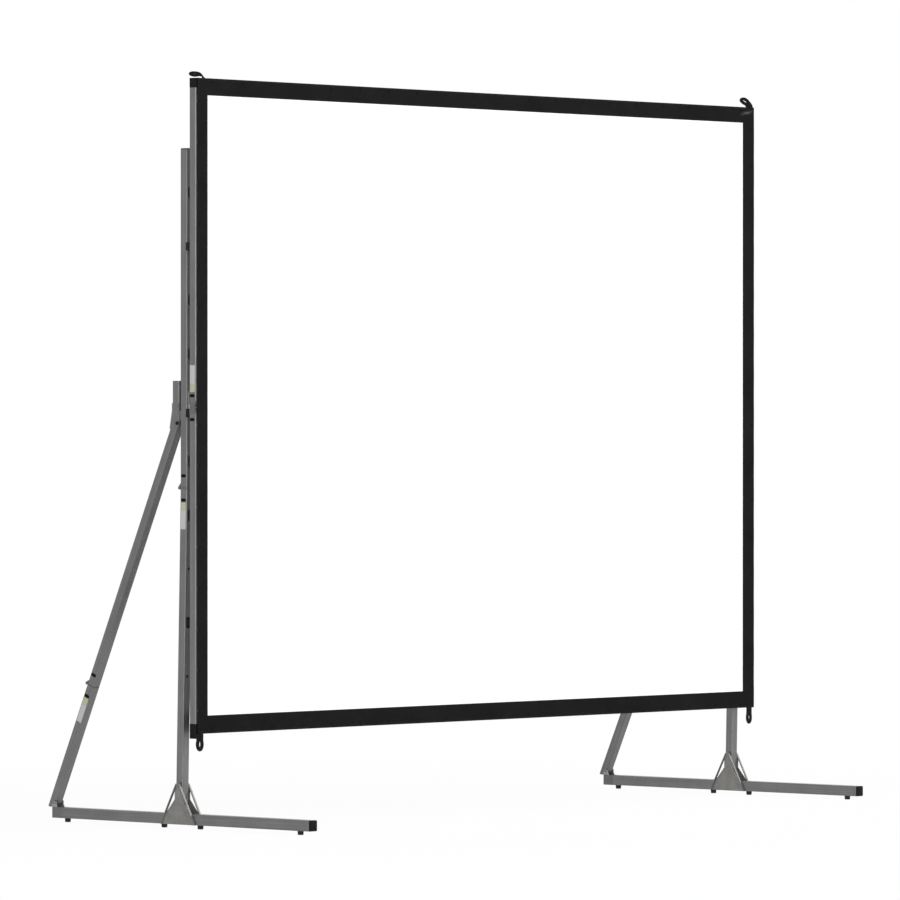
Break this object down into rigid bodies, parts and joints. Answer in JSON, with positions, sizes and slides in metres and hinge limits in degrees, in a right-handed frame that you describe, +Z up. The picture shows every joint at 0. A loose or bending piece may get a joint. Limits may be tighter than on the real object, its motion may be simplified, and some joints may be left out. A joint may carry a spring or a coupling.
{
  "type": "portable projection screen",
  "caption": "Free-standing folding-frame projection screen: black-bordered white surface on a square-tube frame, held by two folding T-legs with diagonal braces.",
  "frame": {"origin": "on the floor, midway between the legs and midway from the front to the rear end", "axes": "+X along the screen, +Y to the rear (the surface faces -Y), +Z up"},
  "size_m": [3.0514, 1.2814, 2.657],
  "materials": {
    "tube_aluminium": "satin, brushed along the tube",
    "joint_castings": "cast, tumbled",
    "bracket_steel": "satin black paint",
    "gusset_steel": "satin grey paint",
    "fasteners": "zinc plated",
    "black_plastic": "moulded, matt",
    "foot_rubber": "moulded, matt",
    "white_surface": "matt white projection fabric",
    "black_border": "woven, matt black",
    "webbing": "woven strap"
  },
  "bodies": {
    "lower_frame": {"bottom_rail": "tube_aluminium", "side_tubes_lower": "tube_aluminium", "bottom_corner_blocks": "black_plastic", "frame_hinges_lower": "joint_castings", "screen_surface_lower": "white_surface", "border_lower": "black_border", "pull_loops_lower": "webbing", "surface_fold_strip": "white_surface", "border_fold_strips": "black_border", "snap_fasteners_lower": "fasteners", "left_upright_upper": "tube_aluminium", "right_upright_upper": "tube_aluminium", "upright_caps": "black_plastic", "upright_hinges_upper": "joint_castings", "frame_brackets": "bracket_steel", "mounting_bolts": "fasteners", "brace_brackets": "tube_aluminium", "brace_top_bolts": "fasteners"},
    "upper_frame": {"top_rail": "tube_aluminium", "side_tubes_upper": "tube_aluminium", "top_corner_blocks": "black_plastic", "frame_hinges_upper": "joint_castings", "screen_surface_upper": "white_surface", "border_upper": "black_border", "pull_loops_upper": "webbing", "snap_fasteners_upper": "fasteners"},
    "left_latch_lever": {"left_frame_latch": "fasteners"},
    "right_latch_lever": {"right_frame_latch": "fasteners"},
    "left_lower_upright": {"left_upright_lower": "tube_aluminium", "left_upright_hinge_lower": "joint_castings", "left_upright_foot": "black_plastic"},
    "left_upright_button": {"left_upright_latch_button": "fasteners"},
    "left_base": {"left_base_tube": "tube_aluminium", "left_base_end_plug": "black_plastic", "left_base_rear_fitting": "joint_castings", "left_gusset_plates": "gusset_steel", "left_gusset_bolts": "fasteners", "left_rubber_feet": "foot_rubber"},
    "left_upper_brace": {"left_brace_upper": "tube_aluminium", "left_brace_knee_upper": "joint_castings"},
    "left_lower_brace": {"left_brace_lower": "tube_aluminium", "left_brace_knee_lower": "joint_castings", "left_brace_foot_bolt": "fasteners"},
    "left_knee_button": {"left_knee_latch_button": "fasteners"},
    "right_lower_upright": {"right_upright_lower": "tube_aluminium", "right_upright_hinge_lower": "joint_castings", "right_upright_foot": "black_plastic"},
    "right_upright_button": {"right_upright_latch_button": "fasteners"},
    "right_base": {"right_base_tube": "tube_aluminium", "right_base_end_plug": "black_plastic", "right_base_rear_fitting": "joint_castings", "right_gusset_plates": "gusset_steel", "right_gusset_bolts": "fasteners", "right_rubber_feet": "foot_rubber"},
    "right_upper_brace": {"right_brace_upper": "tube_aluminium", "right_brace_knee_upper": "joint_castings"},
    "right_lower_brace": {"right_brace_lower": "tube_aluminium", "right_brace_knee_lower": "joint_castings", "right_brace_foot_bolt": "fasteners"},
    "right_knee_button": {"right_knee_latch_button": "fasteners"}
  },
  "joints": [
    {"name": "frame_fold", "type": "hinge", "parent": "lower_frame", "child": "upper_frame", "pos_m": [0, -0.09337, 1.47], "axis": [1, 0, 0], "range_deg": [0, 150], "deforming": ["surface_fold_strip", "border_fold_strips"]},
    {"name": "left_latch_swing", "type": "hinge", "parent": "upper_frame", "child": "left_latch_lever", "pos_m": [-1.5097, -0.06448, 1.524], "axis": [1, 0, 0], "range_deg": [0, 12], "stiffness_Nm_per_rad": 0.05, "springref_deg": -11.46},
    {"name": "right_latch_swing", "type": "hinge", "parent": "upper_frame", "child": "right_latch_lever", "pos_m": [1.5097, -0.06448, 1.524], "axis": [1, 0, 0], "range_deg": [0, 12], "stiffness_Nm_per_rad": 0.05, "springref_deg": -11.46},
    {"name": "left_leg_fold", "type": "hinge", "parent": "lower_frame", "child": "left_lower_upright", "pos_m": [-1.49863, -0.01123, 1.19], "axis": [1, 0, 0], "range_deg": [0, 110]},
    {"name": "left_base_fold", "type": "hinge", "parent": "left_lower_upright", "child": "left_base", "pos_m": [-1.49863, -0.01166, 0.152], "axis": [1, 0, 0], "range_deg": [-50, 0]},
    {"name": "left_brace_swing", "type": "hinge", "parent": "lower_frame", "child": "left_upper_brace", "pos_m": [-1.49863, -0.0054, 1.416], "axis": [1, 0, 0], "range_deg": [0, 91.5]},
    {"name": "left_knee_fold", "type": "hinge", "parent": "left_upper_brace", "child": "left_lower_brace", "pos_m": [-1.49863, 0.44721, 0.49688], "axis": [1, 0, 0], "range_deg": [0, 175]},
    {"name": "left_upright_button_press", "type": "slide", "parent": "left_lower_upright", "child": "left_upright_button", "axis": [-1, 0, 0], "range_m": [0, 0.003], "stiffness_N_per_m": 400, "springref_m": -0.002},
    {"name": "left_knee_button_press", "type": "slide", "parent": "left_lower_brace", "child": "left_knee_button", "axis": [-1, 0, 0], "range_m": [0, 0.003], "stiffness_N_per_m": 400, "springref_m": -0.002},
    {"name": "right_leg_fold", "type": "hinge", "parent": "lower_frame", "child": "right_lower_upright", "pos_m": [1.49863, -0.01123, 1.19], "axis": [1, 0, 0], "range_deg": [0, 110]},
    {"name": "right_base_fold", "type": "hinge", "parent": "right_lower_upright", "child": "right_base", "pos_m": [1.49863, -0.01166, 0.152], "axis": [1, 0, 0], "range_deg": [-50, 0]},
    {"name": "right_brace_swing", "type": "hinge", "parent": "lower_frame", "child": "right_upper_brace", "pos_m": [1.49863, -0.0054, 1.416], "axis": [1, 0, 0], "range_deg": [0, 91.5]},
    {"name": "right_knee_fold", "type": "hinge", "parent": "right_upper_brace", "child": "right_lower_brace", "pos_m": [1.49863, 0.44721, 0.49688], "axis": [1, 0, 0], "range_deg": [0, 175]},
    {"name": "right_upright_button_press", "type": "slide", "parent": "right_lower_upright", "child": "right_upright_button", "axis": [-1, 0, 0], "range_m": [0, 0.003], "stiffness_N_per_m": 400, "springref_m": -0.002},
    {"name": "right_knee_button_press", "type": "slide", "parent": "right_lower_brace", "child": "right_knee_button", "axis": [-1, 0, 0], "range_m": [0, 0.003], "stiffness_N_per_m": 400, "springref_m": -0.002}
  ],
  "couplings": [
    {"joint": "left_base_fold", "follows": "left_leg_fold", "ratio": -0.44153},
    {"joint": "left_brace_swing", "follows": "left_leg_fold", "ratio": 0.82593},
    {"joint": "right_base_fold", "follows": "right_leg_fold", "ratio": -0.44153},
    {"joint": "right_brace_swing", "follows": "right_leg_fold", "ratio": 0.82593}
  ]
}
